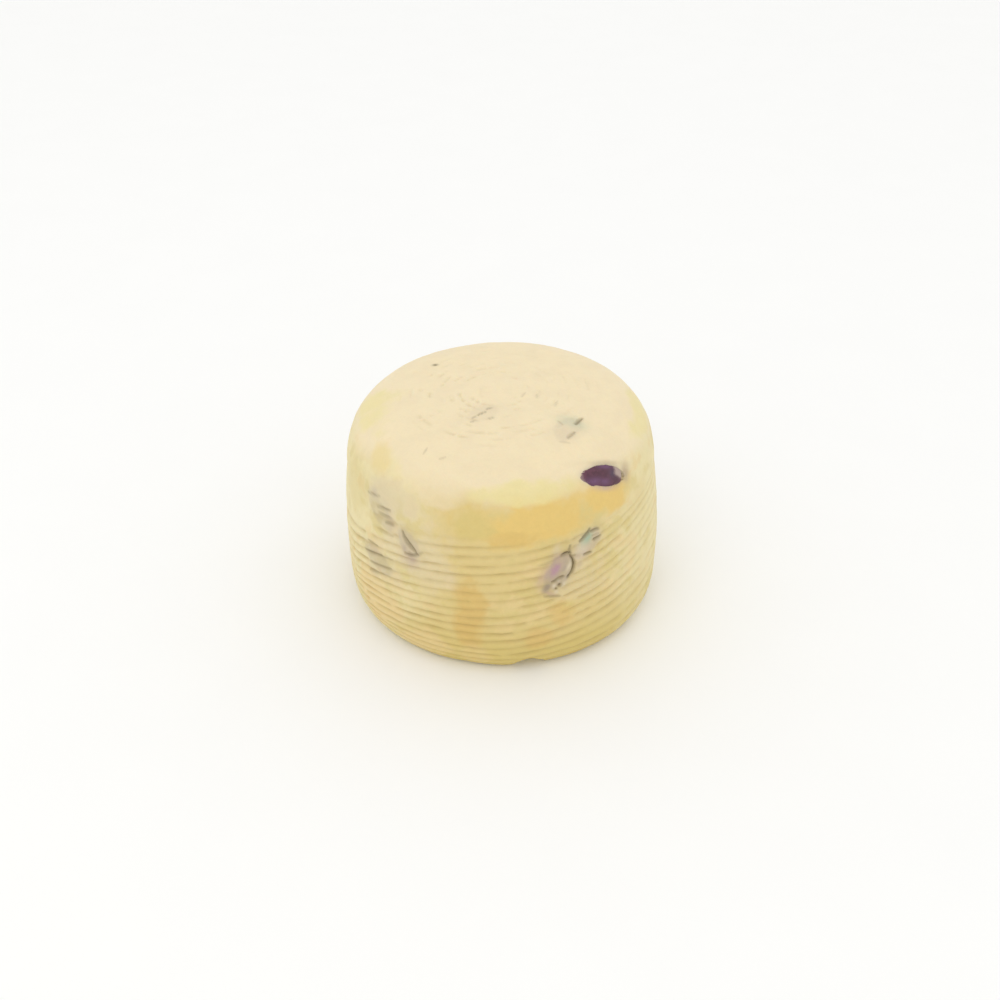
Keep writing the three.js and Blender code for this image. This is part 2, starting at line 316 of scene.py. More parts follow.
class CurdColours(bpy.types.PropertyGroup):
    """Colours of the curd and its rind."""

    face: paint("Face", 240, 223, 185, "Cream of the face")
    face_dull: paint("Face, duller", 235, 218, 181, "Darker patches of the face")
    front: paint("Front", 220, 198, 136, "Butter yellow of the side")
    pale: paint("Pale side", 231, 217, 168, "Paler yellow at left and right")
    rim: paint("Rim", 233, 219, 157, "Yellower curd round the rim")
    ash: paint("Ash", 223, 207, 170, "Greyer cream at the shoulder")
    straw: paint("Straw", 212, 193, 124, "Greener yellow between")
    tan: paint("Tan", 230, 205, 149, "Warmer yellow between")
    gold: paint("Gold", 228, 197, 120, "Smooth gold under the rim")
    amber: paint("Amber", 216, 182, 108, "Amber streaks of dried whey")
    foot: paint("Foot", 212, 191, 117, "Darker yellow round the foot")
    # groove is painted shade: a darker curd laid into the ring grooves, the face's print marks and the
    # chip's scoop, where shade falls.
    groove: paint("Groove", 184, 160, 100, "Moist curd in the grooves")
    # slit is brown juice in slits and specks, and also the painted shadow above the rim olive's
    # opening.
    slit: paint("Slit", 120, 103, 66, "Brown juice in slits and specks")
    veil: paint("Veil", 164, 149, 140, "Grey of an olive under thin curd")
    lilac: paint("Lilac", 180, 136, 158, "Olive juice in the curd")
    # Pale curd beside an olive: partly real pale specks, partly painted highlight on raised curd along
    # an olive's edge.
    cream_and_highlight: paint("Cream", 216, 202, 172, "Pale curd beside an olive")
    mint: paint("Mint", 146, 182, 158, "Green of an olive's flesh under thin curd")


class OliveColours(bpy.types.PropertyGroup):
    """Colours of the olives."""

    skin: paint("Skin", 98, 54, 70, "Dark maroon skin")
    violet: paint("Violet", 112, 74, 108, "Violet bloom")
    slate: paint("Slate", 80, 60, 78, "Bluish bloom")
    plum: paint("Plum", 82, 44, 58, "Darkest patches")
    brown: paint("Brown", 118, 101, 62, "Olive-brown skin of the less ripe ones")
    turning: paint("Turning", 102, 80, 64, "Darker patches of the less ripe ones")
    smear: paint("Smear", 190, 170, 156, "Curd smeared on the skin")


class StageLook(bpy.types.PropertyGroup):
    """The floor, the light and the camera."""

    floor: paint("Floor", 252, 252, 250, "Pale floor")
    floor_radius: length("Floor radius", 6.0, "Radius of the round floor")
    sky: number("Sky", 0.985, "Strength of the white surroundings", min=0)
    lamp: number("Lamp", 1.2, "Watts of the large soft lamp", min=0)
    camera_distance: length("Camera distance", 0.52, "From the middle of the cheese to the camera")
    camera_rise: degrees("Camera rise", 34, "Angle of the camera above the horizon")
    lens: number("Lens", 45.42, "Focal length in millimetres", min=1)
    shift: FloatVectorProperty(
        name="Shift", description="Framing shift, right and up", default=(-0.00145, -0.01407), size=2,
    )


# Numbers and noise


def smoothstep(value, low, high):
    """0 below low, 1 above high, and smooth between."""
    share = np.clip((value - low) / (high - low), 0, 1)
    return share * share * (3 - 2 * share)


def plateau(value, low, high, brink, end):
    """Smooth from 0 at low to 1 at high, and from 1 at the brink to 0 at the end."""
    return smoothstep(value, low, high) * (1 - smoothstep(value, brink, end))


def bell(value, width):
    """1 at 0, and a third of that at the width."""
    return np.exp(-((value / width) ** 2))


def raise_to(values, near, amount):
    """Raise the values of some vertices to at least this amount."""
    values[near] = np.maximum(values[near], amount)


class Unevenness:
    """Smooth noise from -1 to 1, the same on each run."""

    CELLS = 32

    def __init__(self, seed):
        self.values = np.random.default_rng(seed).uniform(-1, 1, (self.CELLS,) * 3)

    def at(self, points, size):
        """The noise at points, with lumps of about that size."""
        place = np.asarray(points) / size
        cell = np.floor(place).astype(int)
        part = place - cell
        part = part * part * (3 - 2 * part)
        total = 0
        for corner in np.ndindex(2, 2, 2):
            weight = np.prod(np.where(corner, part, 1 - part), axis=-1)
            index = (cell + corner) % self.CELLS
            total = total + weight * self.values[index[..., 0], index[..., 1], index[..., 2]]
        return total


# The drum's smooth skin


class Skin:
    """The smooth skin of the upright drum. An arc is the way along it from the face's middle."""

    # The outline is found by radius up to this share of the crown's, and by level from there on.
    CROWN_SHARE = 0.9
    CROWN_SAMPLES, SIDE_SAMPLES, TURN_SAMPLES, FOOT_SAMPLES = 600, 900, 200, 300
    STEP = 0.1 * MM

    def __init__(self, size):
        self.size = size
        self.shoulder = size.height - size.crown_height
        radii = np.linspace(0, self.CROWN_SHARE * size.shoulder_radius, self.CROWN_SAMPLES)
        crown = self.crown_level(radii)
        levels = np.linspace(crown[-1], size.rounding_height, self.SIDE_SAMPLES)[1:]
        turn = np.linspace(0, math.pi / 2, self.TURN_SAMPLES)[1:]
        foot = np.linspace(size.foot_radius - size.rounding_width, 0, self.FOOT_SAMPLES)[1:]
        radius = np.concatenate([
            radii, self.side_radius(levels),
            size.foot_radius - size.rounding_width * (1 - np.cos(turn)), foot,
        ])
        level = np.concatenate([
            crown, levels, size.rounding_height * (1 - np.sin(turn)), np.zeros_like(foot),
        ])
        arc = np.concatenate([[0], np.cumsum(np.hypot(np.diff(radius), np.diff(level)))])
        self.length = float(arc[-1])
        self.foot_edge = self.length - float(foot[0])
        self.arc = np.arange(0, self.length, self.STEP)
        self.radius = np.interp(self.arc, arc, radius)
        self.level = np.interp(self.arc, arc, level)
        along = np.stack([np.gradient(self.radius), np.gradient(self.level)])
        along /= np.hypot(*along)
        self.out_radius, self.out_level = -along[1], along[0]

    def crown_level(self, radius):
        """Level of the crown at a radius."""
        share = radius / self.size.shoulder_radius
        return self.shoulder + self.size.crown_height * np.sqrt(1 - share**self.size.crown_squareness)

    def side_radius(self, level):
        """Radius of the side and the crown at a level above the foot's rounding."""
        size = self.size
        share = (level - size.rounding_height) / (self.shoulder - size.rounding_height)
        straight = size.foot_radius + (size.shoulder_radius - size.foot_radius) * share
        rise = np.clip((level - self.shoulder) / size.crown_height, 0, 1)
        crown = size.shoulder_radius * (1 - rise**2) ** (1 / size.crown_squareness)
        return np.where(level < self.shoulder, straight + 4 * size.belly * share * (1 - share), crown)

    def arc_of_level(self, level):
        """The arc at a level of the side."""
        side = self.arc <= self.foot_edge
        return np.interp(level, self.level[side][::-1], self.arc[side][::-1])

    def place(self, arc):
        """Radius, level, and the outward direction's share along each, at an arc."""
        curves = (self.radius, self.level, self.out_radius, self.out_level)
        return tuple(np.interp(arc, self.arc, curve) for curve in curves)

    def point(self, arc, angle, depth):
        """A point that lies at a depth under the skin."""
        radius, level, out_radius, out_level = self.place(arc)
        reach = radius - depth * out_radius
        return np.stack([reach * np.sin(angle), -reach * np.cos(angle), level - depth * out_level], -1)

    def nearest(self, points):
        """Arc, angle and depth of points near the skin."""
        reach = np.hypot(points[:, 0], points[:, 1])
        gap = np.hypot(reach[:, None] - self.radius, points[:, 2, None] - self.level)
        best = gap.argmin(1)
        depth = (self.radius[best] - reach) * self.out_radius[best]
        depth += (self.level[best] - points[:, 2]) * self.out_level[best]
        return self.arc[best], np.arctan2(points[:, 0], -points[:, 1]), depth

    def crook(self, points):
        """Points of the upright drum at their place on the crooked one."""
        share = points[:, 2] / self.size.height
        raised = points[:, 2] + self.size.face_slope * points[:, 0] * share**2
        return np.stack([points[:, 0] + self.size.lean * (share - 0.5), points[:, 1], raised], -1)

    def straighten(self, points):
        """Points of the crooked drum at their place on the upright one."""
        upright = points.copy()
        for _ in range(6):
            upright += points - self.crook(upright)
        return upright


class OlivePlace:
    """Where an olive lies: a spot of the skin, and the directions along, across and out there."""

    # An olive is about as thick as it is wide, less what the press took. Its ends are a little blunt.
    THICKNESS_SHARE = 0.97
    BLUNTNESS = 2.3

    def __init__(self, name, skin):
        corners = np.array([vertex.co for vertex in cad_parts[name].data.vertices])
        corners = skin.straighten(corners)
        middle = (corners.min(0) + corners.max(0)) / 2
        for _ in range(3):
            arc, angle, _ = skin.nearest(middle[None])
            _, _, out_radius, out_level = skin.place(arc[0])
            side = np.array([math.cos(angle[0]), math.sin(angle[0]), 0])
            radial = np.array([math.sin(angle[0]), -math.cos(angle[0]), 0])
            self.out = radial * out_radius + np.array([0, 0, out_level])
            up = np.cross(self.out, side)
            flat = (corners - middle) @ np.stack([side, up], 1)
            _, axes = np.linalg.eigh(flat.T @ flat)
            along = axes[:, 1] * (1 if axes[0, 1] > 0 else -1)
            self.along = side * along[0] + up * along[1]
            self.across = np.cross(self.out, self.along)
            reach = (corners - middle) @ np.stack([self.along, self.across], 1)
            low, high = reach.min(0), reach.max(0)
            shift = (low + high) / 2
            middle = middle + self.along * shift[0] + self.across * shift[1]
        self.half_length, self.half_width = (high - low) / 2
        self.half_thickness = self.half_width * self.THICKNESS_SHARE
        self.spot = skin.point(arc[0], angle[0], 0)
        deepest = -((corners - self.spot) @ self.out).min()
        self.middle = self.spot - self.out * (deepest - self.half_thickness)

    def local(self, points):
        """Distance of points along, across and out from the spot."""
        return (points - self.spot) @ np.stack([self.along, self.across, self.out], 1)


# The curd drum


def column_angles(count, places):
    """Angles of the grid's columns, closer together where olives lie and most of all in front."""
    fine = np.radians(np.arange(-180, 180, 0.25))
    density = np.full(len(fine), PLAIN_DENSITY)
    for place in places:
        reach = math.hypot(place.spot[0], place.spot[1])
        if reach > 0.5 * WIDEST_RADIUS:
            turn = fine - math.atan2(place.spot[0], -place.spot[1])
            away = np.abs((turn + math.pi) % (2 * math.pi) - math.pi)
            edge = (0.7 * place.half_length + 4 * MM) / reach
            finer = FRONT_DENSITY if place.spot[1] < 0 else BACK_DENSITY
            over = 1 - smoothstep(away, 0.8 * edge, 1.3 * edge)
            density = np.maximum(density, PLAIN_DENSITY + finer * over)
    share = np.concatenate([[0], np.cumsum(density)]) / density.sum()
    edges = np.concatenate([fine, [math.pi]])
    return np.interp(np.arange(count) / count, share, edges)


def neighbours(start, count):
    """The vertices of a closed row, and those that follow them."""
    here = np.arange(count)
    return start + here, start + (here + 1) % count


def fan(tip, first, second):
    """Faces from one point to pairs of neighbours round a row."""
    return np.stack([np.full(len(first), tip), first, second], 1).tolist()


class DrumGrid:
    """Rows of the drum's grid from the middle of the face to the middle of the foot."""

    # Where the rings sag at the far left, and where they stand further apart in front: the middle
    # and the width, in radians.
    SAG_ANGLE, SAG_WIDTH = -1.42, 0.38
    SPREAD_ANGLE, SPREAD_WIDTH = 0.03, 0.4

    def __init__(self, skin, basket, angles, noise):
        self.skin = skin
        self.basket = basket
        self.angles = angles
        self.noise = noise
        self.arcs, self.turns, self.rings, self.counts = [], [], [], []
        self.fill()
        self.arc = np.concatenate(self.arcs)
        self.angle = np.concatenate(self.turns)
        self.ring = np.concatenate(self.rings)
        self.radius, self.level, _, _ = skin.place(self.arc)

    def fill(self):
        """Add every row: the face, the crown, the rings, the foot's edge and the foot."""
        skin, basket = self.skin, self.basket
        top = basket.top_groove - FIRST_RING * basket.pitch
        crown_arc = float(skin.arc_of_level(top + CROWN_GAP))
        for arc in np.linspace(CROWN_MIDDLE, crown_arc, int(crown_arc / CROWN_SPACING)):
            self.add_level_row(arc, float(skin.place(arc)[0]), CROWN_STEPS)
        for ring in range(FIRST_RING, LAST_RING + 1):
            for share in RING_ROWS:
                level = basket.top_groove - (ring + share) * basket.pitch
                if level > RINGS_END:
                    self.add_row(self.tilted(level), ring + share)
        for level in EDGE_ROWS:
            self.add_row(self.tilted(level))
        foot = skin.length - skin.foot_edge
        for arc in np.linspace(skin.foot_edge, skin.length - FOOT_MIDDLE, int(foot / FOOT_SPACING)):
            self.add_level_row(arc, skin.length - arc, FOOT_STEPS)

    def add_level_row(self, arc, radius, steps):
        """A row of the face, the crown or the foot, with fewer columns near the middle."""
        skip = next(step for limit, step in steps if radius > limit)
        self.add_row(np.full(len(self.angles[::skip]), arc), skip=skip)

    def tilted(self, level):
        """Arcs of a row at a level of the side, tilted and wandering as the rings are."""
        skin, basket = self.skin, self.basket
        reach = float(skin.place(skin.arc_of_level(level))[0])
        ring = (basket.top_groove - level) / basket.pitch
        climb = np.full(len(self.angles), 0.8 * ring)
        round_way = np.stack([2.6 * np.cos(self.angles), 2.6 * np.sin(self.angles), climb], -1)
        calm = plateau(level, 1 * MM, 9 * MM, 68 * MM, 76 * MM)
        wander = self.noise.at(round_way, 1.0)
        wander = wander + 0.5 * self.noise.at(round_way * [3.1, 3.1, 1.7] + 9, 1.0)
        wander = wander + 0.4 * self.noise.at(round_way * [8, 8, 1.6] + 3, 1.0)
        across = np.sin(self.angles)
        sag = basket.sag * bell(self.angles - self.SAG_ANGLE, self.SAG_WIDTH)
        bent = plateau(level, 0, 44 * MM, 46 * MM, 76 * MM) * (basket.bend * across**3 - sag)
        share = plateau(level, 0, 22 * MM, 56 * MM, 76 * MM)
        tilt = share * reach * math.tan(basket.tilt) * across + bent
        front = bell(self.angles - self.SPREAD_ANGLE, self.SPREAD_WIDTH)
        front = front * smoothstep(level, 0, 16 * MM)
        lower = basket.spread * (basket.top_groove - level) * front
        return skin.arc_of_level(level + tilt - lower + basket.wobble * calm * wander)

    def add_row(self, arcs, ring=np.nan, skip=1):
        """One closed row."""
        self.arcs.append(arcs)
        self.turns.append(self.angles[::skip])
        self.rings.append(np.full(len(arcs), ring))
        self.counts.append(len(arcs))

    def faces(self):
        """Faces between the rows, and round the two middle points that follow the last row."""
        starts = np.concatenate([[0], np.cumsum(self.counts)])
        faces = []
        for row in range(len(self.counts) - 1):
            faces += self.strip(starts[row], self.counts[row], starts[row + 1], self.counts[row + 1])
        faces += fan(starts[-1], *neighbours(0, self.counts[0]))
        faces += fan(starts[-1] + 1, *neighbours(starts[-2], self.counts[-1])[::-1])
        return faces

    @staticmethod
    def strip(upper, upper_count, lower, lower_count):
        """Faces between two rows, of which one may have twice the columns of the other."""
        if upper_count == lower_count:
            here, after = neighbours(upper, upper_count)
            below, below_after = neighbours(lower, lower_count)
            return np.stack([here, below, below_after, after], 1).tolist()
        few, many = sorted((upper_count, lower_count))
        coarse_start, fine_start = (upper, lower) if upper_count < lower_count else (lower, upper)
        here, after = neighbours(coarse_start, few)
        left, middle, right = (fine_start + (2 * np.arange(few) + step) % many for step in range(3))
        fans = np.concatenate([
            np.stack([here, left, middle], 1),
            np.stack([here, middle, after], 1),
            np.stack([after, middle, right], 1),
        ])
        return (fans if upper_count < lower_count else fans[:, ::-1]).tolist()


def ring_relief(grid, basket, marks):
    """Depth of the basket's print on the side, and how much of a vertex is groove, which sets the
    painted shade there.
    """
    has_ring = ~np.isnan(grid.ring)
    ring = np.where(has_ring, grid.ring, 0.5)
    groove = np.round(ring)
    away = ring - groove
    way = np.stack([np.cos(grid.angle), np.sin(grid.angle), np.zeros(len(ring))], -1)

    def varied(reach, climb, start, size=1.0, counted=groove):
        """Noise round the drum on a circle of this reach, which climbs with each ring."""
        spot = reach * way + climb * counted[:, None] * np.array([0, 0, 1]) + start
        return grid.noise.at(spot, size)

    uneven = varied(7, 3.7, 0) + 0.7 * varied(21, 5.3, 0)
    gaps = varied(12, 7.1, 40)
    widening = varied(9, 4.9, 17, size=1.3)
    swell = 0.5 + 0.5 * varied(9, 2.9, 31, counted=np.floor(ring))
    across = np.sin(grid.angle)
    edge = basket.fade_level + marks.rise + 1.2 * MM * varied(5, 0, 5)
    edge = edge + 3.6 * MM * smoothstep(across, 0.83, 0.98) - 15 * MM * smoothstep(-across, 0.62, 0.9)
    half = basket.fade_height / 2
    print_share = np.where(has_ring, 1 - smoothstep(grid.level, edge - half, edge + half), 0)
    bold = 1 + 0.3 * np.clip(-across, 0, 1) - 0.38 * smoothstep(across, 0.5, 0.88)
    bold = bold + 0.22 * bell(grid.angle - 0.48, 0.16)
    bold = bold + 0.08 * (1 - smoothstep(grid.level, 14 * MM, 34 * MM))
    print_share = print_share * bold * (1 - marks.quiet)
    width = basket.groove_width * (1 + 0.3 * widening)
    strength = np.clip(1 + 0.5 * uneven, 0.15, 2) * smoothstep(gaps, -0.8, -0.35)
    shape = strength * bell(away * basket.pitch, width)
    depth = basket.groove_depth * shape + basket.band_round * (1 - 2 * np.abs(away)) ** 2
    depth = depth + 0.2 * MM * swell * (2 * away) ** 2
    return print_share * depth, print_share * shape


def face_relief(grid, basket, points):
    """Depth of the broken rings that the basket's bottom left on the face and the foot."""
    flat = grid.radius < 46 * MM
    ring = grid.radius / basket.face_pitch
    away = ring - np.round(ring)
    arcs = bell(away * basket.face_pitch, 0.6 * MM)
    stave = grid.angle / STAVE + 0.2 * np.round(ring)
    between = np.abs(stave - np.round(stave)) * STAVE * grid.radius
    broken = smoothstep(grid.noise.at(points * [1, 1, 0.2] + 0.3, 4.2 * MM), -0.1, 0.5)
    inner = plateau(grid.radius, 4 * MM, 8 * MM, 34 * MM, 44 * MM)
    inner = inner * (0.4 + 0.6 * smoothstep(-points[:, 0], -26 * MM, 14 * MM))
    inner = inner * (1 - 0.6 * smoothstep(points[:, 1], 6 * MM, 26 * MM))
    depth = basket.face_depth * arcs * broken * inner * smoothstep(between, 0, 1.2 * MM)
    return np.where(flat, depth, 0)


def curd_relief(skin, grid, basket, marks):
    """Depth of the whole relief, kept above the olives, and how much of a vertex is groove, for the
    painted shade there.
    """
    depth, groove = ring_relief(grid, basket, marks)
    print_depth = face_relief(grid, basket, marks.points)
    # The face's print marks take the painted shade too.
    groove = np.maximum(groove, 0.5 * print_depth / basket.face_depth)
    depth = depth + print_depth
    for lump, height in CURD_LUMPS:
        depth = depth + height * (1 + grid.noise.at(marks.points, lump))
    depth = np.maximum(marks.roof * np.tanh(depth / marks.roof), marks.depth)
    depth = depth * smoothstep(skin.length - grid.arc, 0, FOOT_FADE)
    on_foot = grid.arc > skin.foot_edge
    return np.where(on_foot, np.minimum(depth, FOOT_RELIEF), depth), groove


def slit_shape(local, spots, half_width):
    """How much of a point lies on a slit through spots, with cut corners and tapered ends."""
    spots = np.array(spots) * MM
    for _ in range(2):
        start, end = spots[:-1], spots[1:]
        inner = np.stack([0.75 * start + 0.25 * end, 0.25 * start + 0.75 * end], 1).reshape(-1, 2)
        spots = np.concatenate([spots[:1], inner[1:-1], spots[-1:]])
    best, share = np.full(len(local), np.inf), np.zeros(len(local))
    for step, (start, end) in enumerate(zip(spots[:-1], spots[1:])):
        way = end - start
        part = np.clip((local[:, :2] - start) @ way / (way @ way), 0, 1)
        gap = np.linalg.norm(local[:, :2] - start - part[:, None] * way, axis=1)
        share = np.where(gap < best, (step + part) / (len(spots) - 1), share)
        best = np.minimum(best, gap)
    taper = 0.45 + 0.55 * np.sqrt(np.sin(math.pi * np.clip(share, 0.03, 0.97)))
    return bell(best, half_width * taper)


def window_edge(local, window):
    """How far inside a window a point lies, and the way out of it along and across."""
    along = (local[:, 0] / MM - window[0]) / window[2]
    across = (local[:, 1] / MM - window[1]) / window[3]
    wide = np.abs(across)
    slope = np.stack([2 * along / window[2], 1.6 * np.sign(across) * wide**0.6 / window[3]], 1)
    steep = np.linalg.norm(slope, axis=1).clip(0.04)
    return (1 - along**2 - wide**1.6) / steep * MM, slope / steep[:, None]


def spot_shape(local, along, across, half_along, half_across):
    """A soft spot and its half sizes, in mm."""
    gap = np.hypot((local[:, 0] / MM - along) / half_along, (local[:, 1] / MM - across) / half_across)
    return bell(gap, 1)


class CurdMarks:
    """What olives, scratches and a speck do to the curd: relief, and stains kept as attributes, with
    some painted highlight and shadow among them.
    """

    # How far from its spot an olive marks the curd, along the skin and through it.
    REACH, THROUGH = 18 * MM, 9 * MM

    # In mm: how much deeper than an olive's cover a slit cuts, and how far above the olive the curd's
    # own relief stays. In metres: how deep the opening over a bare olive is, and how near its edge
    # vertices are moved onto it.
    CUT, ROOF = 0.2, 0.12
    OPENING_DEPTH, SNAP = 1.7 * MM, 0.36 * MM

    # The face lies above this level.
    FACE_LEVEL = 60 * MM

    def __init__(self, points, noise):
        self.points = points
        self.noise = noise
        self.depth, self.quiet, self.rise = np.zeros((3, len(points)))
        self.roof = np.ones(len(points))
        self.shift = np.zeros((len(points), 3))
        stains = ("veil", "lilac", "mint", "cream_and_highlight", "seep")
        self.stains = {name: np.zeros(len(points)) for name in stains}

    def add_olive(self, place, look):
        """Mark the curd round one olive."""
        local = place.local(self.points)
        beside, through = np.abs(local[:, :2]).max(1), np.abs(local[:, 2])
        near = np.nonzero((beside < self.REACH) & (through < self.THROUGH))[0]
        local = local[near]
        ragged = self.noise.at(self.points[near], 2.2 * MM)
        # Some of these spots are painted light: highlight on raised curd beside an olive, and shadow
        # above the rim olive's opening.
        for name, along, across, half_along, half_across, amount in look.get("stains", ()):
            spot = spot_shape(local, along, across, half_along, half_across)
            raise_to(self.stains[name], near, amount * np.clip(spot * (1 + 0.3 * ragged), 0, 1))
        if "window" in look:
            self.add_window(near, local, place, look, ragged)
            return
        reach = np.hypot(local[:, 0] / place.half_length, local[:, 1] / place.half_width)
        inside = 1 - smoothstep(reach + 0.12 * ragged, 0.72, 1.12)
        halo = 1 - smoothstep(reach + 0.2 * ragged, 0.9, 1.7)
        raise_to(self.stains["veil"], near, look["veil"] * np.maximum(inside, 0.3 * halo))
        raise_to(self.rise, near, look.get("ring_rise", 0) * MM * inside)
        if look.get("quiet"):
            raise_to(self.quiet, near, inside)
        over = np.clip(1 - smoothstep(reach, 1.0, 1.3), 0.001, 1)
        self.roof[near] = np.minimum(self.roof[near], (look["cover"] - self.ROOF) * MM / over)
        opening = np.zeros(len(near))
        wavy = local + 0.25 * MM * ragged[:, None]
        for strength, *spots in look.get("slits", ()):
            width = (0.42 + 0.42 * strength) * MM
            opening = np.maximum(opening, strength * slit_shape(wavy, spots, width))
        for along, across, radius in look.get("pits", ()):
            opening = np.maximum(opening, spot_shape(local, along, across, radius, radius))
        raise_to(self.depth, near, (look["cover"] + self.CUT) * MM * opening)
        raise_to(self.stains["seep"], near, opening)

    def add_window(self, near, local, place, look, ragged):
        """The opening over a bare olive, whose edge the nearest vertices are moved onto."""
        inside, outward = window_edge(local, look["window"])
        inside = inside + 0.12 * MM * ragged
        pulled = inside * (1 - smoothstep(np.abs(inside), self.SNAP, 2.5 * self.SNAP))
        self.shift[near] += (pulled[:, None] * outward) @ np.stack([place.along, place.across])
        opening = smoothstep(np.where(np.abs(inside) < self.SNAP, 0, inside), 0, 0.5 * MM)
        halo = 0.6 * (1 - smoothstep(-inside, 0.1 * MM, 1.1 * MM))
        halo = halo + 0.4 * (1 - smoothstep(-inside, 0.2 * MM, 2.4 * MM))
        raise_to(self.depth, near, self.OPENING_DEPTH * opening)
        raise_to(self.quiet, near, halo)
        raise_to(self.stains["veil"], near, look["veil"] * halo)

    def add_scratch(self, x, y, reach, direction):
        """A short scratch on the face: its middle, its length and its direction in plan."""
        way = np.array([math.cos(direction), math.sin(direction)]) * reach / 2 / MM
        gap = np.hypot(self.points[:, 0] - x, self.points[:, 1] - y)
        near = np.nonzero((gap < 6 * MM) & (self.points[:, 2] > self.FACE_LEVEL))[0]
        stroke = slit_shape(self.points[near, :2] - np.array([x, y]), (-way, way), 0.5 * MM)
        raise_to(self.depth, near, 0.3 * MM * stroke)
        raise_to(self.stains["seep"], near, 0.3 * stroke)

    def add_speck(self, x, y):
        """A dark speck pressed into the face."""
        face = np.nonzero(self.points[:, 2] > self.FACE_LEVEL)[0]
        away = self.points[face, :2] - np.array([x, y])
        raise_to(self.stains["seep"], face, 1.4 * spot_shape(away, 0, 0, 1.0, 0.8))


def chip_foot(points, noise):
    """Lift the vertices inside the scoop that chips the foot's edge."""
    outward = np.array([math.sin(CHIP_BEARING), -math.cos(CHIP_BEARING)])
    sideways = np.array([math.cos(CHIP_BEARING), math.sin(CHIP_BEARING)])
    flat = points[:, :2] - CHIP_REACH * outward
    side, out = flat @ sideways / CHIP_HALF_WIDTH, flat @ outward / CHIP_HALF_DEPTH
    room = np.clip(1 - side**2 - out**2, 0, None)
    ragged = 0.35 * MM * noise.at(points + 1.0, 1.9 * MM) * np.sqrt(room)
    ceiling = CHIP_HEIGHT * np.sqrt(room) * (1 - 0.25 * np.clip(side, 0, 1)) - 1 * MM + ragged
    lifted = points.copy()
    lifted[:, 2] = np.where(room > 0, np.maximum(points[:, 2], ceiling), points[:, 2])
    return lifted, smoothstep(lifted[:, 2] - points[:, 2], 0, 1 * MM)


def new_piece(name, points, faces, material, attributes):
    """A smooth mesh object with its attributes, riding on the cheese."""
    mesh = bpy.data.meshes.new(name)
    mesh.from_pydata(points.tolist(), [], faces)
    mesh.validate()
    mesh.polygons.foreach_set("use_smooth", np.ones(len(mesh.polygons), bool))
    for title, values in attributes.items():
        attribute = mesh.attributes.new(title, "FLOAT", "POINT")
        attribute.data.foreach_set("value", values.astype(np.float32))
    mesh.materials.append(material)
    mesh.update()
    piece = bpy.data.objects.new(name, mesh)
    bpy.context.scene.collection.objects.link(piece)
    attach(piece, "root")
    return piece


# Shader expressions


def arithmetic(operation):
    """An operator of a field, and the same one with the field on its right."""

    def plain(self, other):
        return self.finish.math(operation, self, other)

    def reflected(self, other):
        return self.finish.math(operation, other, self)

    return plain, reflected


class Field:
    """A node's output that stands in Python expressions. Arithmetic on it adds Math nodes."""

    def __init__(self, finish, socket):
        self.finish = finish
        self.socket = socket

    __add__, __radd__ = arithmetic("ADD")
    __sub__, __rsub__ = arithmetic("SUBTRACT")
    __mul__, __rmul__ = arithmetic("MULTIPLY")
    __truediv__, __rtruediv__ = arithmetic("DIVIDE")


class Finish:
    """A material while it is made: its nodes, and its one Principled shader."""

    def __init__(self, name, constants):
        self.material = bpy.data.materials.new(name)
        self.material.use_nodes = True
        self.tree = self.material.node_tree
        self.shader = self.tree.nodes["Principled BSDF"]
        for socket, value in constants.items():
            self.shader.inputs[socket].default_value = value

    def add(self, kind, settings, sockets, output=0):
        """A node: its settings first, then the values or links of its sockets."""
        node = self.tree.nodes.new(kind)
        for name, value in settings.items():
            setattr(node, name, value)
        for name, value in sockets.items():
            self.feed(node.inputs[name], value)
        return Field(self, node.outputs[output])

    def feed(self, socket, value):
        """Link a field to a socket, or set the socket's value."""
        if isinstance(value, Field):
            self.tree.links.new(value.socket, socket)
        elif hasattr(value, "__len__") and len(socket.default_value) == 4:
            socket.default_value = (*value[:3], 1)
        else:
            socket.default_value = value

    def math(self, operation, first, second):
        """A Math node."""
        return self.add("ShaderNodeMath", {"operation": operation}, {0: first, 1: second})

    def smooth(self, value, low, high):
        """0 below low, 1 above high, and smooth between."""
        sockets = {"Value": value, "From Min": low, "From Max": high}
        return self.add("ShaderNodeMapRange", {"interpolation_type": "SMOOTHSTEP"}, sockets)

    def mix(self, share, first, second, blend="MIX"):
        """The first colour turning to the second."""
        settings = {"data_type": "RGBA", "blend_type": blend}
        return self.add("ShaderNodeMix", settings, {0: share, 6: first, 7: second}, output=2)

    def position(self):
        """The place on the object, in metres."""
        return self.add("ShaderNodeTexCoord", {}, {}, output=3)

    def axes(self, position):
        """The three coordinates of a place, in millimetres."""
        parts = self.add("ShaderNodeSeparateXYZ", {}, {0: position}).socket.node
        return [Field(self, parts.outputs[axis]) * (1 / MM) for axis in range(3)]

    def noise(self, position, lump, detail, roughness=0.5):
        """Noise about 0 with lumps of this size, in millimetres."""
        return self.add("ShaderNodeTexNoise", {}, {
            "Vector": position, "Scale": 1 / (lump * MM), "Detail": detail, "Roughness": roughness,
        }) - 0.5

    def attribute(self, name):
        """A value kept on the mesh."""
        return self.add("ShaderNodeAttribute", {"attribute_name": name}, {}, output=2)

    def bump(self, height, strength, distance):
        """Fine relief, for the shader's normal."""
        sockets = {"Height": height, "Strength": strength, "Distance": distance}
        return self.add("ShaderNodeBump", {}, sockets)

    def done(self, inputs):
        """The material, once the shader's varying inputs are fed."""
        for name, value in inputs.items():
            self.feed(self.shader.inputs[name], value)
        return self.material


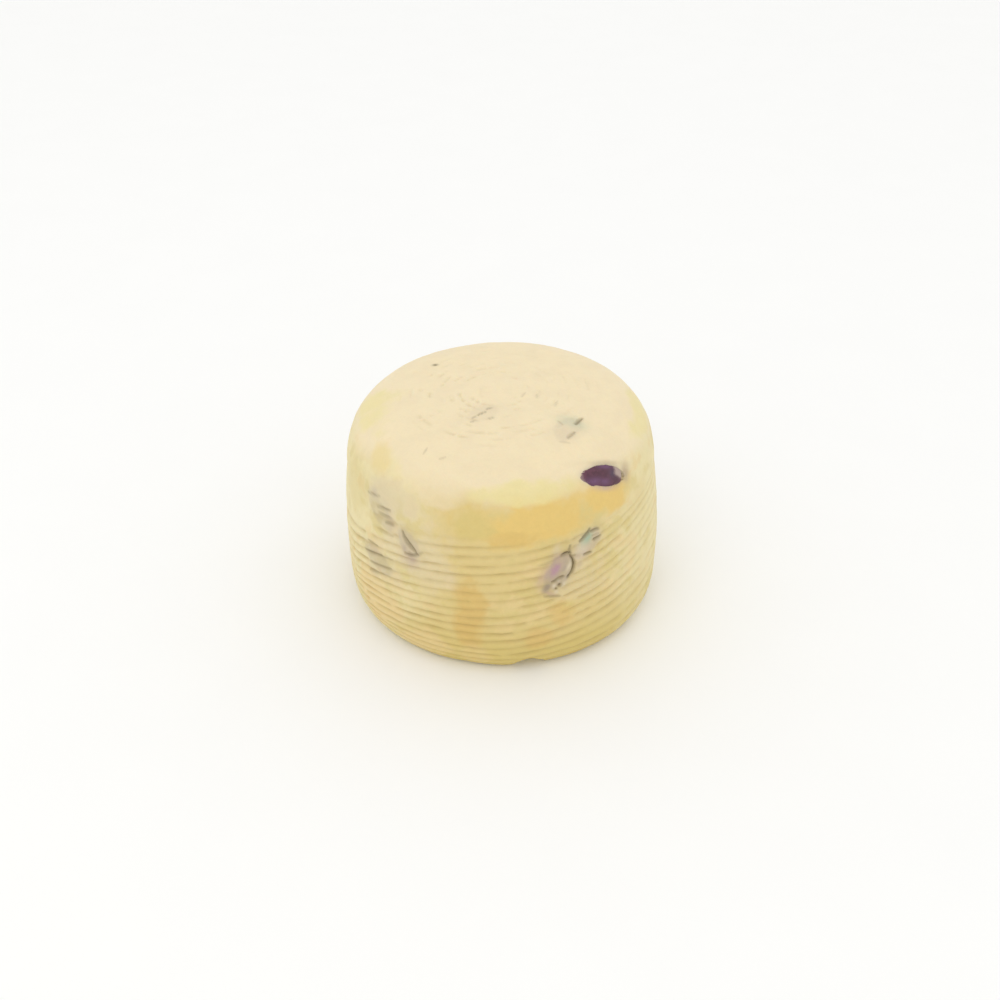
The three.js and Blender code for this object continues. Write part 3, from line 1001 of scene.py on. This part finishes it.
# Broad patches of the side, and of the rim over them: the spot's angle (degrees, from the front to
# the right) and level (mm), its half width (degrees) and half height (mm), which colour it turns to,
# and how strongly.
RIND_PATCHES = (
    (13, 68.5, 28, 10.0, "gold", 1.0),
    (40, 71.5, 17, 7.5, "gold", 1.0),
    (-9, 68, 8, 6.5, "straw", 0.65),
    (4, 63, 10, 3.5, "amber", 0.45),
    (30, 57, 8, 7.0, "ash", 0.35),
    (27, 43, 12, 14.0, "ash", 0.4),
    (-66, 64, 12, 12.0, "straw", 0.35),
    (-11, 29, 7, 17.0, "amber", 0.8),
    (21, 27, 6, 7.0, "amber", 0.75),
    (13, 18, 6, 7.0, "amber", 0.75),
    (-41, 70, 16, 8.0, "ash", 0.65),
    (-32, 50, 18, 17.0, "ash", 0.6),
    (-50, 20, 15, 13.0, "tan", 0.85),
    (-30, 9, 13, 8.0, "tan", 0.7),
    (-9, 8, 7, 6.0, "tan", 0.4),
    (14, 24, 18, 10.0, "tan", 0.2),
    (118, 66, 26, 9.0, "gold", 0.85),
    (158, 30, 8, 15.0, "amber", 0.5),
    (-146, 67, 22, 8.0, "gold", 0.7),
    (-96, 34, 7, 12.0, "amber", 0.55),
)
RIM_PATCHES = (
    (8, 79.8, 20, 4.2, "rim", 0.75),
    (-24, 78, 10, 5.0, "face_dull", 0.55),
    (-50, 80.5, 11, 4.0, "rim", 0.45),
    (-84, 83.6, 18, 4.4, "rim", 0.75),
    (-54, 79.5, 8, 5.0, "gold", 0.3),
    (86, 82, 18, 4.5, "rim", 0.7),
    (160, 81.5, 19, 4.5, "rim", 0.5),
)


def curd_finish(colours):
    """Cream to butter-yellow curd with gold and amber patches, painted shade in its grooves, and
    stains round the olives with some painted highlight and shadow.
    """
    finish = Finish("curd rind", {
        "Subsurface Weight": 0.12, "Subsurface Radius": (1.0, 0.62, 0.3), "Subsurface Scale": 0.0022,
        "Specular IOR Level": 0.32,
    })
    place = finish.position()
    across, deep, level = finish.axes(place)
    angle = finish.math("ARCTAN2", across, deep * -1) * (180 / math.pi)
    broad = finish.noise(place, 26, detail=3)
    middling = finish.noise(place, 9, detail=3)
    fine = finish.noise(place, 2.4, detail=4, roughness=0.6)
    grain = finish.noise(place, 0.7, detail=3, roughness=0.6)

    turned = finish.math("ABSOLUTE", angle - 8, 0)
    aside = finish.smooth(turned + broad * 60, 20, 62)
    side = finish.mix(aside, colours.front, colours.pale)
    side = finish.mix(finish.smooth(middling + broad * 0.6, 0.02, 0.2) * 0.55, side, colours.straw)
    side = finish.mix(finish.smooth(broad * 0.5 - middling, 0.04, 0.2) * 0.6, side, colours.tan)
    near_foot = 1 - finish.smooth(level + middling * 16, 8, 30)
    side = finish.mix(near_foot * (0.85 - aside * 0.5), side, colours.foot)

    def patched(ground, patches):
        for middle, height, half_angle, half_height, name, strength in patches:
            wide = (angle - middle) / half_angle
            tall = (level - height) / half_height
            gap = wide * wide + tall * tall + middling * 2.6 + broad * 1.2 + fine * 0.5
            share = (1 - finish.smooth(gap, 0.2, 1.3)) * strength
            ground = finish.mix(share, ground, getattr(colours, name))
        return ground

    side = patched(side, RIND_PATCHES)
    dull = finish.smooth(middling + fine * 0.5, -0.08, 0.14) * 0.8
    face = finish.mix(dull, colours.face, colours.face_dull)
    upper = finish.smooth(level + middling * 9 + broad * 8, 73.4, 83.4)
    curd = patched(finish.mix(upper, side, face), RIM_PATCHES)

    # Painted shade: the groove share darkens the curd in the grooves, the face's print marks and the
    # chip's scoop.
    groove = finish.attribute("groove")
    curd = finish.mix(groove * 0.3, curd, colours.groove)
    blotches = {"veil": 0.85 + fine * 0.7, "lilac": 0.8 + fine, "mint": 0.8 + fine * 0.8}
    for name, share in blotches.items():
        curd = finish.mix(finish.attribute(name) * share, curd, getattr(colours, name))
    # Pale curd beside the olives, partly painted highlight on raised curd.
    curd = finish.mix(finish.attribute("cream_and_highlight"), curd, colours.cream_and_highlight)
    # Brown juice in slits and specks, and painted shadow above the rim olive's opening.
    curd = finish.mix(finish.attribute("seep") * 0.8, curd, colours.slit)
    light = 1 + fine * 0.09 + grain * 0.07 + middling * 0.05
    grey = finish.add("ShaderNodeCombineColor", {}, dict.fromkeys(range(3), light))
    return finish.done({
        "Base Color": finish.mix(1.0, curd, grey, "MULTIPLY"),
        "Roughness": 0.56 + fine * 0.16 + groove * 0.1,
        "Normal": finish.bump(fine * 0.5 + grain * 0.35 + middling * 0.3, 0.5, 0.4 * MM),
    })


def olive_finish(colours, name, skin, patch):
    """Matt to waxy olive skin with bloom, wrinkled, and smeared with curd at its edge."""
    finish = Finish(name, {"Specular IOR Level": 0.45})
    place = finish.position()
    broad = finish.noise(place, 6, detail=3)
    fine = finish.noise(place, 1.1, detail=4, roughness=0.6)
    tone = finish.mix(finish.smooth(broad + fine * 0.7, -0.1, 0.16), skin, patch)
    for bloom in ("violet", "slate"):
        tone = finish.mix(finish.attribute(bloom) * (0.9 + fine), tone, getattr(colours, bloom))
    smear = finish.smooth(finish.attribute("smear") + fine * 0.5 + broad * 0.3, 0.25, 1.0)
    tone = finish.mix(smear * 0.8, tone, colours.smear)
    return finish.done({
        "Base Color": tone,
        "Roughness": 0.42 + fine * 0.2 + smear * 0.15,
        "Normal": finish.bump(fine * 0.6 + broad * 0.4, 0.6, 0.3 * MM),
    })


def floor_finish(tint):
    """A matt floor with slight mottling."""
    finish = Finish("pale floor", {"Roughness": 0.7, "Specular IOR Level": 0.2})
    mottle = finish.noise(finish.position(), 40, detail=1)
    darker = tuple(value * 0.985 for value in tint)
    return finish.done({"Base Color": finish.mix(mottle + 0.5, tint, darker)})


# The pieces


class CACIOTTA_OT_curd(bpy.types.Operator):
    """Build the curd drum with its basket rings, its chip and the openings over the olives"""

    bl_idname = "caciotta.curd"
    bl_label = "Curd drum"

    def execute(self, context):
        scene = context.scene
        basket = scene.caciotta_basket
        skin = Skin(scene.caciotta_size)
        noise = Unevenness(CURD_SEED)
        places = {name: OlivePlace(name, skin) for name in OLIVE_NODES}
        angles = column_angles(skin.size.columns, places.values())
        grid = DrumGrid(skin, basket, angles, noise)
        marks = CurdMarks(skin.point(grid.arc, grid.angle, 0), noise)
        for name, place in places.items():
            marks.add_olive(place, OLIVE_LOOKS[name])
        for x, y, reach, turn in FACE_SCRATCHES:
            marks.add_scratch(x * MM, y * MM, reach * MM, math.radians(turn))
        marks.add_speck(*FACE_SPECK)
        depth, groove = curd_relief(skin, grid, basket, marks)
        points = skin.point(grid.arc, grid.angle, depth) + marks.shift
        points, chipped = chip_foot(points, noise)
        middles = np.array([[0, 0, skin.size.height - FACE_MIDDLE_DEPTH], [0, 0, 0]])
        points = skin.crook(np.concatenate([points, middles]))
        # The chip's scoop is darkened with the same painted shade as the grooves.
        attributes = {"groove": np.maximum(groove, 0.4 * chipped), **marks.stains}
        attributes = {name: np.append(values, [0, 0]) for name, values in attributes.items()}
        material = curd_finish(scene.caciotta_curd)
        piece = new_piece("curd", points, grid.faces(), material, attributes)
        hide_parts("curd_drum")
        return {"FINISHED"}


def olive_mesh(place, look, skin, noise):
    """Points, faces and tints of one olive, pressed flat under the curd that covers it."""
    polar = np.linspace(0, math.pi, OLIVE_ROWS + 1)[1:-1]
    turn = np.linspace(0, 2 * math.pi, OLIVE_COLUMNS, endpoint=False)
    tilt, bearing = (values.ravel() for values in np.meshgrid(polar, turn, indexing="ij"))
    ball = np.stack([-np.cos(tilt), np.sin(tilt) * np.cos(bearing), np.sin(tilt) * np.sin(bearing)], 1)
    ball = np.concatenate([ball, [[-1, 0, 0], [1, 0, 0]]])
    ball = ball / (np.abs(ball) ** place.BLUNTNESS).sum(1, keepdims=True) ** (1 / place.BLUNTNESS)
    halves = np.array([place.half_length, place.half_width, place.half_thickness])
    swell = 1 - 0.02 * (1 + noise.at(ball + place.spot * 90, 0.55)) - 0.006 * noise.at(ball + 7, 0.16)
    body = ball * halves * swell[:, None]
    points = place.middle + body @ np.stack([place.along, place.across, place.out])
    arc, angle, depth = skin.nearest(points)
    local = place.local(points)
    reach = np.hypot(local[:, 0] / place.half_length, local[:, 1] / place.half_width)
    wrinkle = 0.06 * MM * noise.at(local * [0.35, 1, 0] + place.spot, 1.3 * MM)
    cover = look["cover"] * MM + wrinkle + (0.35 * MM * reach**2 if "window" in look else 0)
    pressed = skin.point(arc, angle, np.maximum(depth, cover))
    points = np.where((depth < cover)[:, None], pressed, points)
    tints = {name: np.zeros(len(points)) for name in ("smear", "violet", "slate")}
    for name, *spot in look.get("blooms", ()):
        tints[name] = np.maximum(tints[name], spot_shape(local, *spot))
    if "window" in look:
        along, across = local[:, 0], local[:, 1]
        tints["smear"] = 0.35 * smoothstep(reach, 0.7, 1) + 0.4 * smoothstep(-along, 5 * MM, 10 * MM)
        tints["smear"] += smoothstep(along, 4.0 * MM, 8.2 * MM) * smoothstep(across, -2 * MM, 1 * MM)
    last_row = (OLIVE_ROWS - 2) * OLIVE_COLUMNS
    faces = []
    for start in range(0, last_row, OLIVE_COLUMNS):
        here, after = neighbours(start, OLIVE_COLUMNS)
        faces += np.stack([here, after, after + OLIVE_COLUMNS, here + OLIVE_COLUMNS], 1).tolist()
    faces += fan(len(ball) - 2, *neighbours(0, OLIVE_COLUMNS)[::-1])
    faces += fan(len(ball) - 1, *neighbours(last_row, OLIVE_COLUMNS))
    return points, faces, tints


class CACIOTTA_OT_olives(bpy.types.Operator):
    """Build each olive under or in its opening in the curd"""

    bl_idname = "caciotta.olives"
    bl_label = "Olives"

    def execute(self, context):
        scene = context.scene
        colours = scene.caciotta_olive
        skin = Skin(scene.caciotta_size)
        noise = Unevenness(OLIVE_SEED)
        ripe = olive_finish(colours, "ripe olive", colours.skin, colours.plum)
        green = olive_finish(colours, "half-ripe olive", colours.brown, colours.turning)
        for name in OLIVE_NODES:
            look = OLIVE_LOOKS[name]
            place = OlivePlace(name, skin)
            points, faces, tints = olive_mesh(place, look, skin, noise)
            material = ripe if "window" in look else green
            piece = new_piece(name + "_flesh", skin.crook(points), faces, material, tints)
            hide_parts(name)
        return {"FINISHED"}


def point_at(name, data, place, direction):
    """A lamp or camera at a place, pointing in a direction."""
    item = bpy.data.objects.new(name, data)
    item.location = place
    item.rotation_euler = direction.to_track_quat("-Z", "Y").to_euler()
    bpy.context.scene.collection.objects.link(item)
    return item


class CACIOTTA_OT_stage(bpy.types.Operator):
    """Set the pale floor, the soft light and the camera"""

    bl_idname = "caciotta.stage"
    bl_label = "Stage"

    FLOOR_SIDES = 96
    SENSOR_WIDTH = 36
    NEAREST_SEEN = 0.01

    def execute(self, context):
        scene = context.scene
        look = scene.caciotta_stage
        self.add_floor(scene, look)
        self.add_light(scene, look)
        self.add_camera(scene, look)
        return {"FINISHED"}

    def add_floor(self, scene, look):
        """A round floor."""
        turn = np.linspace(0, 2 * math.pi, self.FLOOR_SIDES, endpoint=False)
        rim = [(look.floor_radius * math.cos(a), look.floor_radius * math.sin(a), 0) for a in turn]
        mesh = bpy.data.meshes.new("floor")
        mesh.from_pydata(rim, [], [tuple(range(len(rim)))])
        mesh.materials.append(floor_finish(tuple(look.floor)))
        floor = bpy.data.objects.new("floor", mesh)
        scene.collection.objects.link(floor)

    def add_light(self, scene, look):
        """White surroundings and one large soft lamp from the front left."""
        world = bpy.data.worlds.new("studio")
        world.use_nodes = True
        background = world.node_tree.nodes["Background"]
        background.inputs["Color"].default_value = (1, 1, 1, 1)
        background.inputs["Strength"].default_value = look.sky
        scene.world = world
        light = bpy.data.lights.new("key", "AREA")
        light.shape = "DISK"
        light.size = LAMP_WIDTH
        light.energy = look.lamp
        point_at("key", light, LAMP_PLACE, LAMP_SPOT - LAMP_PLACE)

    def add_camera(self, scene, look):
        """A camera that looks down on the middle of the cheese."""
        scene.view_settings.view_transform = "Standard"
        target = Vector((0, 0, scene.caciotta_size.height / 2))
        rise = look.camera_rise
        back = Vector((0, -math.cos(rise), math.sin(rise)))
        lens = bpy.data.cameras.new("camera")
        lens.sensor_width = self.SENSOR_WIDTH
        lens.lens = look.lens
        lens.shift_x, lens.shift_y = look.shift
        lens.clip_start = self.NEAREST_SEEN
        scene.camera = point_at("camera", lens, target + back * look.camera_distance, -back)


class CACIOTTA_PT_panel(bpy.types.Panel):
    """Sizes, colours and pieces of the cheese."""

    bl_idname = "CACIOTTA_PT_panel"
    bl_label = "Caciotta"
    bl_space_type = "VIEW_3D"
    bl_region_type = "UI"
    bl_category = "Caciotta"

    def draw(self, context):
        layout = self.layout
        for piece in PIECES:
            layout.operator(piece.bl_idname)
        for name, group in SETTINGS.items():
            box = layout.box()
            box.label(text=group.__doc__)
            for key in group.__annotations__:
                box.prop(getattr(context.scene, name), key)


PIECES = (CACIOTTA_OT_curd, CACIOTTA_OT_olives, CACIOTTA_OT_stage)
SETTINGS = {
    "caciotta_size": DrumSize,
    "caciotta_basket": BasketPrint,
    "caciotta_curd": CurdColours,
    "caciotta_olive": OliveColours,
    "caciotta_stage": StageLook,
}


def register():
    for group in SETTINGS.values():
        bpy.utils.register_class(group)
    for name, group in SETTINGS.items():
        setattr(bpy.types.Scene, name, PointerProperty(type=group))
    for item in (*PIECES, CACIOTTA_PT_panel):
        bpy.utils.register_class(item)


def unregister():
    for item in (CACIOTTA_PT_panel, *reversed(PIECES)):
        bpy.utils.unregister_class(item)
    for name in SETTINGS:
        delattr(bpy.types.Scene, name)
    for group in reversed(SETTINGS.values()):
        bpy.utils.unregister_class(group)


def main():
    """Build the whole scene."""
    register()
    bpy.ops.caciotta.stage()
    bpy.ops.caciotta.curd()
    bpy.ops.caciotta.olives()


if __name__ == "__main__":
    main()
